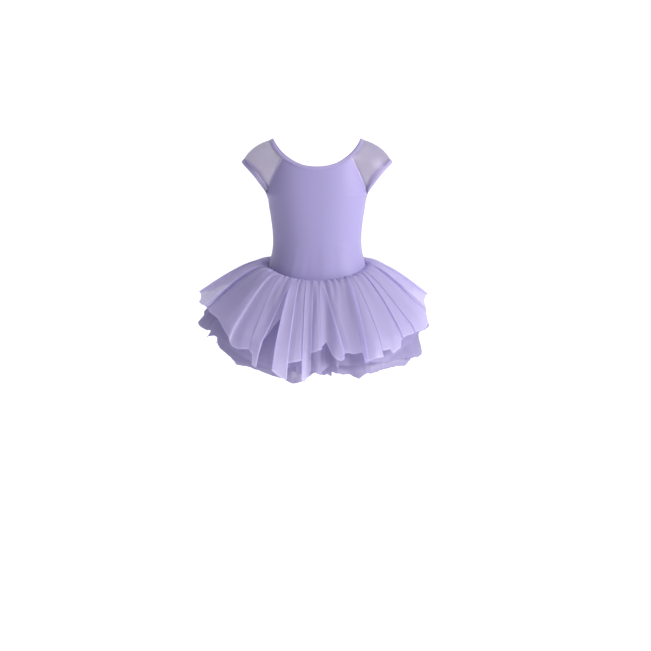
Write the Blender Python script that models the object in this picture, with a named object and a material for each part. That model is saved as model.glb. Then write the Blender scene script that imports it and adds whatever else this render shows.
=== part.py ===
"""A child's ballet dress, worn and hollow: each cut and sewn piece is a thin wall of cloth.

Metres, +Z up. The front faces -Y and the wearer's left is +X. The origin lies midway between
the two shoulder tops, where the wearer's shoulders hold the dress up.

The stretch bodice has a front and a back panel, joined at the sides. Sheer raglan cap sleeves
lie between them over the shoulders. A binding runs round the neck and round each armhole, and
four gathered layers of tulle are sewn into the seam at the bodice's lower edge.
"""

import math

import bmesh
import bpy
import numpy as np

# Cloth and seams
WALL = 0.0012
SEAM_GAP = 0.0003
WAIST_SEAM_GAP = 0.0005

# Neck binding, along its centre line
NECK_HALF_WIDTH = 0.0850
NECK_FRONT_REACH = 0.0630
NECK_BACK_REACH = 0.0590
NECK_FRONT_DROP = 0.0475
NECK_BACK_DROP = 0.0620
NECK_ROUNDNESS = 0.9
NECK_SCOOP = 1.4
NECK_BINDING_WIDTH = 0.0090
BINDING_THICKNESS = 0.0024

# Armhole binding, along its centre line, on the wearer's left
ARM_TIP = np.array([0.1405, 0.0, -0.0405])
ARM_UNDER = np.array([0.0932, 0.0, -0.1085])
ARM_HALF_DEPTH = 0.0370
ARM_FRONT_BOW = 0.0090
ARM_BINDING_WIDTH = 0.0075

# Raglan seams: where they leave the neck and meet the armhole, and how far they bow
RAGLAN_NECK_ANGLE = math.radians(47.0)
RAGLAN_ARM_ANGLE = math.radians(135.0)
RAGLAN_BOW = 0.0035
CAP_RISE = 0.0062

# How finely each edge is divided; pieces that share an edge share its points
PANEL_COLUMNS = 18
SLEEVE_COLUMNS = 18
RAGLAN_ROWS = 6
UNDERARM_ROWS = 3

# The torso's rings, half width at the sides and depth at the front and back, on a general figure
TORSO_COLUMNS = ("z", "half_width", "front_depth", "back_depth")
TORSO = (
    (-0.0200, 0.0975, 0.0560, 0.0500),
    (-0.0500, 0.0970, 0.0640, 0.0570),
    (-0.0800, 0.0958, 0.0700, 0.0645),
    (-0.1130, 0.0932, 0.0732, 0.0705),
    (-0.1290, 0.0912, 0.0735, 0.0712),
    (-0.1500, 0.0878, 0.0725, 0.0690),
    (-0.1710, 0.0854, 0.0712, 0.0662),
    (-0.1930, 0.0843, 0.0708, 0.0652),
    (-0.2120, 0.0858, 0.0722, 0.0675),
    (-0.2280, 0.0896, 0.0742, 0.0733),
    (-0.2410, 0.0935, 0.0762, 0.0790),
    (-0.2570, 0.0990, 0.0785, 0.0850),
)
ROUNDNESS = 2.4
# How near an armhole the cloth leaves the torso to reach it: higher is nearer
EDGE_FADE = 5.0

# Heights of the panels' rows below the armholes, at the side seam and down each centre line
ROW_COLUMNS = ("side_z", "front_z", "back_z")
ROW_HEIGHTS = (
    (-0.1290, -0.1380, -0.1370),
    (-0.1500, -0.1590, -0.1560),
    (-0.1710, -0.1800, -0.1770),
    (-0.1930, -0.2010, -0.1980),
    (-0.2120, -0.2220, -0.2160),
    (-0.2280, -0.2410, -0.2310),
    (-0.2410, -0.2570, -0.2440),
)
UNDERARM_MIDDLE_Z = -0.1210

# Tulle: how far each layer's hem stands out from the waist seam and hangs below it, and how
# high its gathers lift before they fall
LAYER_COLUMNS = (
    "front_out", "front_down", "front_lift",
    "side_out", "side_down", "side_lift",
    "back_out", "back_down", "back_lift",
)
LAYERS = (
    (0.1220, 0.1130, 0.0140, 0.1270, 0.0660, 0.0230, 0.1220, 0.0640, 0.0300),
    (0.1130, 0.1320, 0.0090, 0.1250, 0.1060, 0.0130, 0.1190, 0.1080, 0.0160),
    (0.1020, 0.1470, 0.0040, 0.1140, 0.1420, 0.0060, 0.1120, 0.1420, 0.0060),
    (0.0900, 0.1600, 0.0000, 0.1040, 0.1610, 0.0000, 0.1020, 0.1610, 0.0000),
)
# The skirt stands out a little further on the wearer's right
SIDE_LEAN = 0.06
LAYER_STEP = WALL + SEAM_GAP
LAYER_DROP = 0.0003
LIFT_AT = 0.15
BELLY_AT = (0.60, 0.42)

# Gathers: waves round the seam and hem
GATHER_WAVES = 24
GATHER_HEIGHT_AT_SEAM = 0.0008
GATHER_START = 0.10
GATHER_HEIGHT_AT_HEM = (0.0080, 0.0075, 0.0070, 0.0060)
GATHER_GROWTH = 1.3
GATHER_DRIFT = 0.35
HEM_UNEVENNESS = 0.035
SKIRT_COLUMNS = 144
SKIRT_ROWS = (5, 4, 3, 3)

# The largest folds: azimuth from the front towards the wearer's left, half width, both in
# degrees, and height at the top layer's hem, negative for a valley
LARGE_FOLDS = (
    (-100.0, 16.0, 0.010),
    (-76.0, 12.0, -0.012),
    (-52.0, 15.0, 0.010),
    (-22.0, 9.0, 0.008),
    (8.0, 7.0, -0.010),
    (34.0, 12.0, 0.008),
    (63.0, 12.0, -0.009),
    (92.0, 16.0, 0.010),
    (128.0, 14.0, -0.008),
    (163.0, 14.0, 0.009),
    (-135.0, 14.0, -0.008),
)

# Materials: base colour, roughness and alpha
CLOTH_MATERIALS = {
    "stretch": ((0.42, 0.36, 0.68), 0.42, 1.0),
    "sheer": ((0.50, 0.44, 0.62), 0.60, 0.5),
    "binding": ((0.44, 0.38, 0.70), 0.50, 1.0),
    "tulle": ((0.47, 0.42, 0.72), 0.70, 0.8),
}


def unit(vectors):
    """The same vectors, each one unit long."""
    return vectors / np.linalg.norm(vectors, axis=-1, keepdims=True)


def smooth(value):
    """Rises from 0 to 1 with level ends."""
    value = np.clip(value, 0.0, 1.0)
    return value * value * (3.0 - 2.0 * value)


def neck_point(angle):
    """A point of the neck binding's centre line. Angle 0 is the front, 90 degrees the left shoulder."""
    across = math.cos(angle)
    reach, drop = (
        (NECK_FRONT_REACH, NECK_FRONT_DROP) if across >= 0 else (NECK_BACK_REACH, NECK_BACK_DROP)
    )
    depth = -math.copysign(reach * abs(across) ** NECK_ROUNDNESS, across)
    return np.array([NECK_HALF_WIDTH * math.sin(angle), depth, -drop * abs(across) ** NECK_SCOOP])


def neck_normal(angle):
    """The cloth's outward direction at the neck: forward at the front, up on the shoulder."""
    front, side = math.cos(angle), math.sin(angle)
    return unit(np.array([0.35 * side, -0.95 * front, 0.30 * abs(front) + 0.94 * abs(side)]))


def arm_point(angle):
    """A point of the left armhole's centre line. Angle 0 is the cap's tip, 90 degrees the front."""
    middle, half = (ARM_TIP + ARM_UNDER) / 2, (ARM_TIP - ARM_UNDER) / 2
    bow = ARM_FRONT_BOW * math.sin(angle) ** 2
    return middle + math.cos(angle) * half + np.array([-bow, -ARM_HALF_DEPTH * math.sin(angle), 0.0])


def arm_normal(angle):
    """The cloth's outward direction at the left armhole."""
    over, front = math.cos(angle), math.sin(angle)
    tip, under = max(over, 0.0), max(-over, 0.0)
    return unit(
        tip * np.array([0.80, 0.0, 0.60])
        + under * np.array([1.0, 0.0, 0.05])
        + np.array([0.45 * abs(front), -0.93 * front, 0.10 * abs(front)])
    )


def binding_frame(point, normal, angle):
    """(place, outward normal, direction in the cloth away from the opening) at an angle of a loop."""
    step = 0.01
    along = unit(point(angle + step) - point(angle - step))
    out = normal(angle)
    out = unit(out - along * (out @ along))
    return point(angle), out, np.cross(along, out)


def neck_edge(angle):
    """Where the panels end below the neck binding."""
    place, _, away = binding_frame(neck_point, neck_normal, angle)
    return place + away * (NECK_BINDING_WIDTH / 2 + SEAM_GAP)


def arm_edge(angle):
    """Where the cloth ends at the left armhole's binding."""
    place, _, away = binding_frame(arm_point, arm_normal, angle)
    return place + away * (ARM_BINDING_WIDTH / 2 + SEAM_GAP)


def raglan_seam(neck_angle, arm_angle, rows):
    """The left raglan seam from the neck to the armhole, bowed towards the body's middle."""
    share = np.linspace(0.0, 1.0, rows + 1)[:, None]
    start, end = neck_edge(neck_angle), arm_edge(arm_angle)
    outward = np.array([0.35, math.copysign(0.93, start[1]), 0.0])
    return start + (end - start) * share + outward * RAGLAN_BOW * 4 * share * (1 - share)


def eased(heights, values, height):
    """A smooth curve through a table's values, heights falling, at any height."""
    heights, values = np.array(heights[::-1]), np.array(values[::-1])
    slopes = np.gradient(values, heights)
    height = np.clip(height, heights[0], heights[-1])
    k = np.clip(np.searchsorted(heights, height) - 1, 0, len(heights) - 2)
    span = heights[k + 1] - heights[k]
    t = (height - heights[k]) / span
    return (
        (2 * t**3 - 3 * t**2 + 1) * values[k]
        + (t**3 - 2 * t**2 + t) * span * slopes[k]
        + (3 * t**2 - 2 * t**3) * values[k + 1]
        + (t**3 - t**2) * span * slopes[k + 1]
    )


def torso_size(name, height):
    """A size of the torso at a height, from the table of rings."""
    heights, *_ = zip(*TORSO)
    values = [row[TORSO_COLUMNS.index(name)] for row in TORSO]
    return eased(heights, values, height)


def torso_point(turn, height, front):
    """A point of the torso at a turn from the centre line, 90 degrees at the side seam."""
    width = torso_size("half_width", height)
    depth = torso_size("front_depth" if front else "back_depth", height)
    side = np.abs(np.sin(turn)) ** ROUNDNESS
    y = depth * (1.0 - np.minimum(side, 1.0)) ** (1.0 / ROUNDNESS)
    return np.stack([width * np.sin(turn), -y if front else y, height], axis=-1)


def panel_edge(front):
    """The left edge of the front or back panel: raglan seam, underarm, then side seam."""
    arm_side = 1.0 if front else -1.0
    neck_angle = RAGLAN_NECK_ANGLE if front else math.pi - RAGLAN_NECK_ANGLE
    raglan = raglan_seam(neck_angle, arm_side * RAGLAN_ARM_ANGLE, RAGLAN_ROWS)
    under_angles = np.linspace(RAGLAN_ARM_ANGLE, math.pi, UNDERARM_ROWS + 1)[1:]
    underarm = np.array([arm_edge(arm_side * a) for a in under_angles])
    side_z = np.array([row[0] for row in ROW_HEIGHTS])
    side = np.stack([torso_size("half_width", side_z), np.zeros(len(side_z)), side_z], axis=-1)
    return np.concatenate([raglan, underarm, side])


def panel_grid(front):
    """The outer points of the front or back panel: rows from neck to waist, columns from right to left."""
    across = np.linspace(-1.0, 1.0, PANEL_COLUMNS + 1)
    neck_angles = across * RAGLAN_NECK_ANGLE
    neck_row = np.array([neck_edge(a if front else math.pi - a) for a in neck_angles])
    edge = panel_edge(front)
    upper_rows = RAGLAN_ROWS + UNDERARM_ROWS
    upper = np.linspace(neck_row[PANEL_COLUMNS // 2][2], UNDERARM_MIDDLE_Z, upper_rows + 1)
    centre_name = "front_z" if front else "back_z"
    centre = [row[ROW_COLUMNS.index(centre_name)] for row in ROW_HEIGHTS]
    middle = np.concatenate([upper, centre])

    share = edge[:, 0] / torso_size("half_width", edge[:, 2])
    half_turn = np.arcsin(np.minimum(share, 1.0))
    half_turn[upper_rows:] = math.pi / 2
    height = middle[:, None] + (edge[:, 2] - middle)[:, None] * np.sin(across * math.pi / 2) ** 2
    grid = torso_point(across * half_turn[:, None], height, front)

    edge_shift = edge - grid[:, -1]
    edge_fade = np.abs(across) ** EDGE_FADE
    both_sides = np.where(across[None, :, None] < 0, mirrored(edge_shift)[:, None], edge_shift[:, None])
    grid = grid + both_sides * edge_fade[None, :, None]
    neck_fade = 1.0 - smooth(np.arange(len(grid)) / RAGLAN_ROWS)
    return grid + neck_fade[:, None, None] * (neck_row - grid[0])[None]


def sleeve_grid():
    """The outer points of the left cap sleeve: rows from neck to armhole, columns from front to back."""
    along = np.linspace(0.0, 1.0, SLEEVE_COLUMNS + 1)
    down = np.linspace(0.0, 1.0, RAGLAN_ROWS + 1)
    neck_angles = RAGLAN_NECK_ANGLE + (math.pi - 2 * RAGLAN_NECK_ANGLE) * along
    arm_angles = RAGLAN_ARM_ANGLE * (1.0 - 2.0 * along)
    neck = np.array([neck_edge(a) for a in neck_angles])
    arm = np.array([arm_edge(a) for a in arm_angles])
    front = raglan_seam(RAGLAN_NECK_ANGLE, RAGLAN_ARM_ANGLE, RAGLAN_ROWS)
    back = raglan_seam(math.pi - RAGLAN_NECK_ANGLE, -RAGLAN_ARM_ANGLE, RAGLAN_ROWS)
    s, t = along[None, :, None], down[:, None, None]
    ruled = neck[None] * (1 - t) + arm[None] * t
    crossed = front[:, None] * (1 - s) + back[:, None] * s
    corners = (
        (1 - t) * ((1 - s) * neck[0] + s * neck[-1])
        + t * ((1 - s) * arm[0] + s * arm[-1])
    )
    patch = ruled + crossed - corners
    top = np.array([0.64, 0.0, 0.77])
    lean = np.array([0.30, 0.0, 0.30])
    side = np.cos(np.pi * along)[None, :, None] * np.array([0.0, -1.0, 0.0])
    outward = unit(np.sin(np.pi * along)[None, :, None] * top + lean + side * 0.9)
    swell = CAP_RISE * 4 * t * (1 - t) * np.sin(np.pi * s) ** 0.8
    return patch + outward * swell


def grid_normals(grid, closed=False):
    """The outward direction at each point of a grid, from its neighbours."""
    down = np.gradient(grid, axis=0)
    if closed:
        across = (np.roll(grid, -1, axis=1) - np.roll(grid, 1, axis=1)) / 2
    else:
        across = np.gradient(grid, axis=1)
    return unit(np.cross(down, across))


def evened(normals):
    """Normals along a seam, each averaged with its neighbours; the two ends stay."""
    middle = unit(normals[:-2] + 2 * normals[1:-1] + normals[2:])
    return np.concatenate([normals[:1], middle, normals[-1:]])


def inset_side(grid, column, neighbour, distance):
    """Moves an open side of a grid towards its inside by a distance, within the cloth."""
    inward = unit(grid[:, neighbour] - grid[:, column])
    grid[:, column] += inward * distance


def mirrored(points):
    """The same points on the wearer's right."""
    return points * np.array([-1.0, 1.0, 1.0])


def cloth_material(name):
    """A plain cloth material from the table."""
    colour, roughness, alpha = CLOTH_MATERIALS[name]
    material = bpy.data.materials.new(name)
    material.use_nodes = True
    shader = material.node_tree.nodes["Principled BSDF"]
    shader.inputs["Base Color"].default_value = (*colour, 1.0)
    shader.inputs["Roughness"].default_value = roughness
    shader.inputs["Metallic"].default_value = 0.0
    shader.inputs["Alpha"].default_value = alpha
    material.diffuse_color = (*colour, alpha)
    return material


def add_solid(name, points, faces, material, parent):
    """One closed solid as an object, with its faces turned outwards."""
    mesh = bpy.data.meshes.new(name)
    mesh.from_pydata([tuple(p) for p in points], [], faces)
    work = bmesh.new()
    work.from_mesh(mesh)
    bmesh.ops.recalc_face_normals(work, faces=work.faces)
    work.to_mesh(mesh)
    work.free()
    mesh.shade_smooth()
    mesh.set_sharp_from_angle(angle=math.radians(50.0))
    mesh.materials.append(material)
    solid = bpy.data.objects.new(name, mesh)
    bpy.context.scene.collection.objects.link(solid)
    solid.parent = parent
    return solid


def grid_faces(rows, columns, closed, start=0):
    """The quads of a grid of points numbered row by row."""
    spans = columns if closed else columns - 1
    return [
        (
            start + r * columns + c,
            start + r * columns + (c + 1) % columns,
            start + (r + 1) * columns + (c + 1) % columns,
            start + (r + 1) * columns + c,
        )
        for r in range(rows - 1)
        for c in range(spans)
    ]


def rim_faces(a, b, count):
    """Two triangles that close a wall's edge, cut along the same diagonal on both sides of a seam."""
    return [(a, b, b + count), (a, b + count, a + count)]


def add_wall(name, outer, normals, material, parent, closed=False):
    """A wall of cloth between an outer grid and the same grid moved in by the cloth's thickness."""
    rows, columns = outer.shape[:2]
    inner = outer - normals * WALL
    count = rows * columns
    faces = grid_faces(rows, columns, closed)
    faces += [tuple(reversed(f)) for f in grid_faces(rows, columns, closed, count)]
    spans = columns if closed else columns - 1
    for row in (0, rows - 1):
        for c in range(spans):
            faces += rim_faces(row * columns + c, row * columns + (c + 1) % columns, count)
    if not closed:
        for column in (0, columns - 1):
            for r in range(rows - 1):
                faces += rim_faces(r * columns + column, (r + 1) * columns + column, count)
    points = np.concatenate([outer.reshape(-1, 3), inner.reshape(-1, 3)])
    return add_solid(name, points, faces, material, parent)


def add_binding(name, places, outs, aways, width, material, parent):
    """A closed band with a six-sided section that follows a loop of frames."""
    half, thick = width / 2, BINDING_THICKNESS / 2
    section = (
        (half, 0.0),
        (0.7 * half, thick),
        (-0.7 * half, thick),
        (-half, 0.0),
        (-0.7 * half, -thick),
        (0.7 * half, -thick),
    )
    middles = places - outs * WALL / 2
    grid = np.stack([middles + aways * w + outs * h for w, h in section], axis=1)
    count, sides = grid.shape[:2]
    faces = [
        (
            r * sides + c,
            r * sides + (c + 1) % sides,
            (r + 1) % count * sides + (c + 1) % sides,
            (r + 1) % count * sides + c,
        )
        for r in range(count)
        for c in range(sides)
    ]
    return add_solid(name, grid.reshape(-1, 3), faces, material, parent)


def neck_angles():
    """The neck's divisions all the way round, shared with the panels and sleeves."""
    panel = np.linspace(-RAGLAN_NECK_ANGLE, RAGLAN_NECK_ANGLE, PANEL_COLUMNS + 1)[:-1]
    sleeve = np.linspace(RAGLAN_NECK_ANGLE, math.pi - RAGLAN_NECK_ANGLE, SLEEVE_COLUMNS + 1)[:-1]
    return np.concatenate([panel, sleeve, panel + math.pi, sleeve + math.pi])


def arm_angles():
    """The armhole's divisions all the way round, shared with the sleeve and panels."""
    sleeve = np.linspace(-RAGLAN_ARM_ANGLE, RAGLAN_ARM_ANGLE, SLEEVE_COLUMNS + 1)
    under = np.linspace(RAGLAN_ARM_ANGLE, 2 * math.pi - RAGLAN_ARM_ANGLE, 2 * UNDERARM_ROWS + 1)
    return np.concatenate([sleeve[:-1], under[:-1]])


def frames_of(point, normal, angles):
    """Arrays of places, outward normals and directions away from the opening."""
    frames = [binding_frame(point, normal, a) for a in angles]
    return tuple(np.array(column) for column in zip(*frames))


def make_bodice(stretch, sheer, binding, parent):
    """The two panels, the two cap sleeves and the three bindings."""
    front, back = panel_grid(True), panel_grid(False)
    sleeve = sleeve_grid()
    front_normals = grid_normals(front)
    back_normals = -grid_normals(back)
    sleeve_normals = grid_normals(sleeve)
    left, right = PANEL_COLUMNS, 0
    seam_rows = slice(0, RAGLAN_ROWS + 1)
    for panel_normals, sleeve_column in ((front_normals, 0), (back_normals, -1)):
        shared = unit(panel_normals[seam_rows, left] + sleeve_normals[:, sleeve_column])
        panel_normals[seam_rows, left] = shared
        sleeve_normals[:, sleeve_column] = shared
    side_rows = slice(RAGLAN_ROWS + UNDERARM_ROWS, None)
    shared = unit(front_normals[side_rows, left] + back_normals[side_rows, left])
    front_normals[side_rows, left] = shared
    back_normals[side_rows, left] = shared
    underarm_rows = slice(RAGLAN_ROWS, RAGLAN_ROWS + UNDERARM_ROWS + 1)
    for panel_normals, arm_side in ((front_normals, 1.0), (back_normals, -1.0)):
        angles = arm_side * np.linspace(RAGLAN_ARM_ANGLE, math.pi, UNDERARM_ROWS + 1)
        panel_normals[underarm_rows, left] = frames_of(arm_point, arm_normal, angles)[1]
        panel_normals[:, right] = mirrored(panel_normals[:, left])
    neck_outs = frames_of(neck_point, neck_normal, neck_angles())[1]
    count = PANEL_COLUMNS + SLEEVE_COLUMNS
    front_normals[0] = neck_outs[: PANEL_COLUMNS + 1]
    back_normals[0] = neck_outs[count : count + PANEL_COLUMNS + 1][::-1]
    sleeve_normals[0] = neck_outs[PANEL_COLUMNS : count + 1]
    arm_outs = frames_of(arm_point, arm_normal, arm_angles())[1]
    sleeve_normals[-1] = arm_outs[: SLEEVE_COLUMNS + 1][::-1]
    for panel_normals, sleeve_column in ((front_normals, 0), (back_normals, -1)):
        shared = evened(evened(sleeve_normals[:, sleeve_column]))
        sleeve_normals[:, sleeve_column] = shared
        panel_normals[seam_rows, left] = shared
        panel_normals[seam_rows, right] = mirrored(shared)

    for grid in (front, back):
        inset_side(grid, left, left - 1, SEAM_GAP / 2)
        inset_side(grid, right, right + 1, SEAM_GAP / 2)
    inset_side(sleeve, 0, 1, SEAM_GAP / 2)
    inset_side(sleeve, -1, -2, SEAM_GAP / 2)

    add_wall("bodice_front", front, front_normals, stretch, parent)
    add_wall("bodice_back", back, back_normals, stretch, parent)
    add_wall("sleeve_left", sleeve, sleeve_normals, sheer, parent)
    add_wall("sleeve_right", mirrored(sleeve), mirrored(sleeve_normals), sheer, parent)

    neck = frames_of(neck_point, neck_normal, neck_angles())
    add_binding("neck_binding", *neck, NECK_BINDING_WIDTH, binding, parent)
    arm = frames_of(arm_point, arm_normal, arm_angles())
    add_binding("arm_binding_left", *arm, ARM_BINDING_WIDTH, binding, parent)
    flipped = [mirrored(values) for values in arm]
    add_binding("arm_binding_right", *flipped, ARM_BINDING_WIDTH, binding, parent)


def waist_seam(azimuth):
    """(point of the bodice's lower edge, horizontal outward direction). Azimuth 0 is the front."""
    front = math.cos(azimuth) >= 0
    heights = dict(zip(ROW_COLUMNS, ROW_HEIGHTS[-1]))
    middle_z = heights["front_z"] if front else heights["back_z"]
    level = middle_z + (heights["side_z"] - middle_z) * math.sin(azimuth) ** 2
    turn = math.asin(math.sin(azimuth))
    place = torso_point(turn, level, front)
    width = torso_size("half_width", level)
    depth = torso_size("front_depth" if front else "back_depth", level)
    across = math.copysign(abs(place[0] / width) ** (ROUNDNESS - 1.0) / width, place[0])
    ahead = math.copysign(abs(place[1] / depth) ** (ROUNDNESS - 1.0) / depth, place[1])
    return place, unit(np.array([across, ahead, 0.0]))


def layer_value(layer, name, azimuth):
    """A size of a tulle layer at an azimuth, blended between its front, side and back."""
    ends = "front_" if math.cos(azimuth) >= 0 else "back_"
    share = math.sin(azimuth) ** 2
    return layer["side_" + name] * share + layer[ends + name] * (1.0 - share)


def gather_phase(azimuth):
    """The gathers' phase round the waist, unevenly spaced as hand-pulled gathers are."""
    drift = 1.1 * math.sin(2 * azimuth + 0.6) + 0.8 * math.sin(3 * azimuth + 2.1)
    return GATHER_WAVES * azimuth + drift + 0.5 * math.sin(7 * azimuth)


def gather_strength(azimuth):
    """How deep the gathers are at an azimuth, about 1."""
    return 1.0 + 0.28 * math.sin(3 * azimuth + 1.0) + 0.18 * math.sin(5 * azimuth + 4.0)


def large_fold(azimuth):
    """The height of the large folds at an azimuth, at the hem."""
    height = 0.0
    for azimuth_degrees, half_width, fold_height in LARGE_FOLDS:
        turn = (math.degrees(azimuth) - azimuth_degrees + 180.0) % 360.0 - 180.0
        if abs(turn) < half_width:
            height += fold_height * math.cos(turn / half_width * math.pi / 2) ** 2
    return height


def tulle_point(number, azimuth, share):
    """A point of a layer at a share of its length from seam to hem, on its outer side."""
    layer = dict(zip(LAYER_COLUMNS, LAYERS[number]))
    place, outward = waist_seam(azimuth)
    uneven = 1.0 + HEM_UNEVENNESS * math.sin(9 * azimuth + 1.7 * number + 1.3 * math.sin(4 * azimuth))
    out = layer_value(layer, "out", azimuth) * uneven * (1.0 - SIDE_LEAN * math.sin(azimuth))
    down = layer_value(layer, "down", azimuth) * uneven
    controls = np.array(
        [
            (0.0, 0.0),
            (LIFT_AT * out, layer_value(layer, "lift", azimuth)),
            (BELLY_AT[0] * out, -BELLY_AT[1] * down),
            (out, -down),
        ]
    )
    left = 1.0 - share
    weights = np.array([left**3, 3 * left**2 * share, 3 * left * share**2, share**3])
    slopes = 3 * np.array(
        [-(left**2), left**2 - 2 * left * share, 2 * left * share - share**2, share**2]
    )
    run, rise = weights @ controls
    run_slope, rise_slope = slopes @ controls
    length = math.hypot(run_slope, rise_slope)
    across = np.array([-rise_slope, run_slope]) / length

    height = GATHER_HEIGHT_AT_SEAM * smooth(share / GATHER_START)
    height += (GATHER_HEIGHT_AT_HEM[number] - GATHER_HEIGHT_AT_SEAM) * share**GATHER_GROWTH
    phase = gather_phase(azimuth) + GATHER_DRIFT * number * share
    shift = height * gather_strength(azimuth) * math.sin(phase)
    shift += large_fold(azimuth) * smooth(share) * (1.0 - 0.22 * number)
    run += across[0] * shift
    rise += across[1] * shift
    start = place - outward * LAYER_STEP * number
    below = WAIST_SEAM_GAP + LAYER_DROP * number
    return start + outward * run + np.array([0.0, 0.0, rise - below])


def make_layer(number, material, parent):
    """One gathered layer of tulle, a closed ring from the waist seam to its cut hem."""
    azimuths = np.linspace(-math.pi, math.pi, SKIRT_COLUMNS, endpoint=False)
    rows = SKIRT_ROWS[number]
    shares = np.linspace(0.0, 1.0, rows + 1) ** 1.15
    grid = np.array([[tulle_point(number, a, s) for a in azimuths] for s in shares])
    normals = grid_normals(grid, closed=True)
    outward = np.array([waist_seam(a)[1] for a in azimuths])
    normals[0] = outward
    return add_wall(f"tulle_layer_{number + 1}", grid, normals, material, parent, closed=True)


def main():
    for old in list(bpy.data.objects):
        bpy.data.objects.remove(old)
    dress = bpy.data.objects.new("dress", None)
    bpy.context.scene.collection.objects.link(dress)
    materials = {name: cloth_material(name) for name in CLOTH_MATERIALS}
    make_bodice(materials["stretch"], materials["sheer"], materials["binding"], dress)
    for number in range(len(LAYERS)):
        make_layer(number, materials["tulle"], dress)


main()
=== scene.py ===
"""How the ballet dress looks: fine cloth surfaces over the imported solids, with camera and light.

Metres, +Z up, and the front faces -Y. The sizes repeat the part's own, so each surface lies on
the solid that it stands for.
"""

import math

import bpy
import numpy as np
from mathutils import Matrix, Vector


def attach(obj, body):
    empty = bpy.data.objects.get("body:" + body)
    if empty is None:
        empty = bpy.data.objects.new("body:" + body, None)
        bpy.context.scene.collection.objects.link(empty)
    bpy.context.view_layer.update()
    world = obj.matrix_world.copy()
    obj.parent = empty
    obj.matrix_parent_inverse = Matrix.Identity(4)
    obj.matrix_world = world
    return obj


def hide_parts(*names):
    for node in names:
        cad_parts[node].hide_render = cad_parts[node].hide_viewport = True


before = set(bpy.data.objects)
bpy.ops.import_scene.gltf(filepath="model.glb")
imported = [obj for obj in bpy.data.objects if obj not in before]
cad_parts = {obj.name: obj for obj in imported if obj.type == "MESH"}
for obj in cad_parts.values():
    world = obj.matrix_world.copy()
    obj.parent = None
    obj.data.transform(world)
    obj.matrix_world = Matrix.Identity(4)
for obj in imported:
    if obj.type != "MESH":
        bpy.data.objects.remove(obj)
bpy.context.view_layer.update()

# Cloth
WALL = 0.0012
KNIT = 0.0008

# Neck binding, along its centre line
NECK_HALF_WIDTH = 0.0850
NECK_FRONT_REACH = 0.0630
NECK_BACK_REACH = 0.0590
NECK_FRONT_DROP = 0.0475
NECK_BACK_DROP = 0.0620
NECK_ROUNDNESS = 0.9
NECK_SCOOP = 1.4
NECK_BINDING_WIDTH = 0.0090
NECK_STRIP_WIDTH = 0.0070
BINDING_THICKNESS = 0.0022
STRIP_SETTLES = 0.0004

# Armhole binding, along its centre line, on the wearer's left
ARM_TIP = np.array([0.1405, 0.0, -0.0405])
ARM_UNDER = np.array([0.0932, 0.0, -0.1085])
ARM_HALF_DEPTH = 0.0370
ARM_FRONT_BOW = 0.0090
ARM_BINDING_WIDTH = 0.0075
ARM_STRIP_WIDTH = 0.0064

# How far the cloth's raw edge goes into a binding
TUCK = 0.0025

# Raglan seams
RAGLAN_NECK_ANGLE = math.radians(47.0)
RAGLAN_ARM_ANGLE = math.radians(135.0)
RAGLAN_BOW = 0.0035
CAP_RISE = 0.0062

# The bodice's coarse grid and how much finer its surface is
PANEL_COLUMNS = 18
SLEEVE_COLUMNS = 18
RAGLAN_ROWS = 6
UNDERARM_ROWS = 3
PANEL_FINER = 7
SLEEVE_FINER = 7
SEAM_FINER = 12

# How the rows round the underarm are evened out
EDGE_KEPT = 14.0
UNDERARM_REACH = 2.0
UNDERARM_PASSES = 3

# The torso's rings
TORSO_COLUMNS = ("z", "half_width", "front_depth", "back_depth")
TORSO = (
    (-0.0200, 0.0975, 0.0560, 0.0500),
    (-0.0500, 0.0970, 0.0640, 0.0570),
    (-0.0800, 0.0958, 0.0700, 0.0645),
    (-0.1130, 0.0932, 0.0732, 0.0705),
    (-0.1290, 0.0912, 0.0735, 0.0712),
    (-0.1500, 0.0878, 0.0725, 0.0690),
    (-0.1710, 0.0854, 0.0712, 0.0662),
    (-0.1930, 0.0843, 0.0708, 0.0652),
    (-0.2120, 0.0858, 0.0722, 0.0675),
    (-0.2280, 0.0896, 0.0742, 0.0733),
    (-0.2410, 0.0935, 0.0762, 0.0790),
    (-0.2570, 0.0990, 0.0785, 0.0850),
)
ROUNDNESS = 2.4
EDGE_FADE = 5.0
ROW_COLUMNS = ("side_z", "front_z", "back_z")
ROW_HEIGHTS = (
    (-0.1290, -0.1380, -0.1370),
    (-0.1500, -0.1590, -0.1560),
    (-0.1710, -0.1800, -0.1770),
    (-0.1930, -0.2010, -0.1980),
    (-0.2120, -0.2220, -0.2160),
    (-0.2280, -0.2410, -0.2310),
    (-0.2410, -0.2570, -0.2440),
)
UNDERARM_MIDDLE_Z = -0.1210

# Creases of the stretched bodice, with the columns x, z, half_length, half_width, tilt, height:
# place on the panel seen square on, tilt of the length from level in degrees, and height, negative
# for a trough
CREASES_FRONT = (
    (-0.066, -0.132, 0.026, 0.0080, -38.0, -0.0002),
    (0.064, -0.131, 0.028, 0.0085, 40.0, -0.0002),
    (-0.058, -0.192, 0.030, 0.0055, 12.0, -0.0004),
    (-0.055, -0.204, 0.032, 0.0060, 9.0, 0.0004),
    (0.056, -0.188, 0.030, 0.0055, -10.0, -0.0004),
    (0.058, -0.200, 0.030, 0.0060, -13.0, 0.0004),
    (-0.020, -0.240, 0.030, 0.0065, 84.0, -0.0005),
    (0.012, -0.236, 0.034, 0.0075, 92.0, 0.0005),
    (0.034, -0.232, 0.028, 0.0060, 97.0, -0.0005),
    (-0.045, -0.232, 0.024, 0.0055, 78.0, 0.0005),
    (0.004, -0.082, 0.030, 0.0090, 4.0, -0.0003),
)
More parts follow.
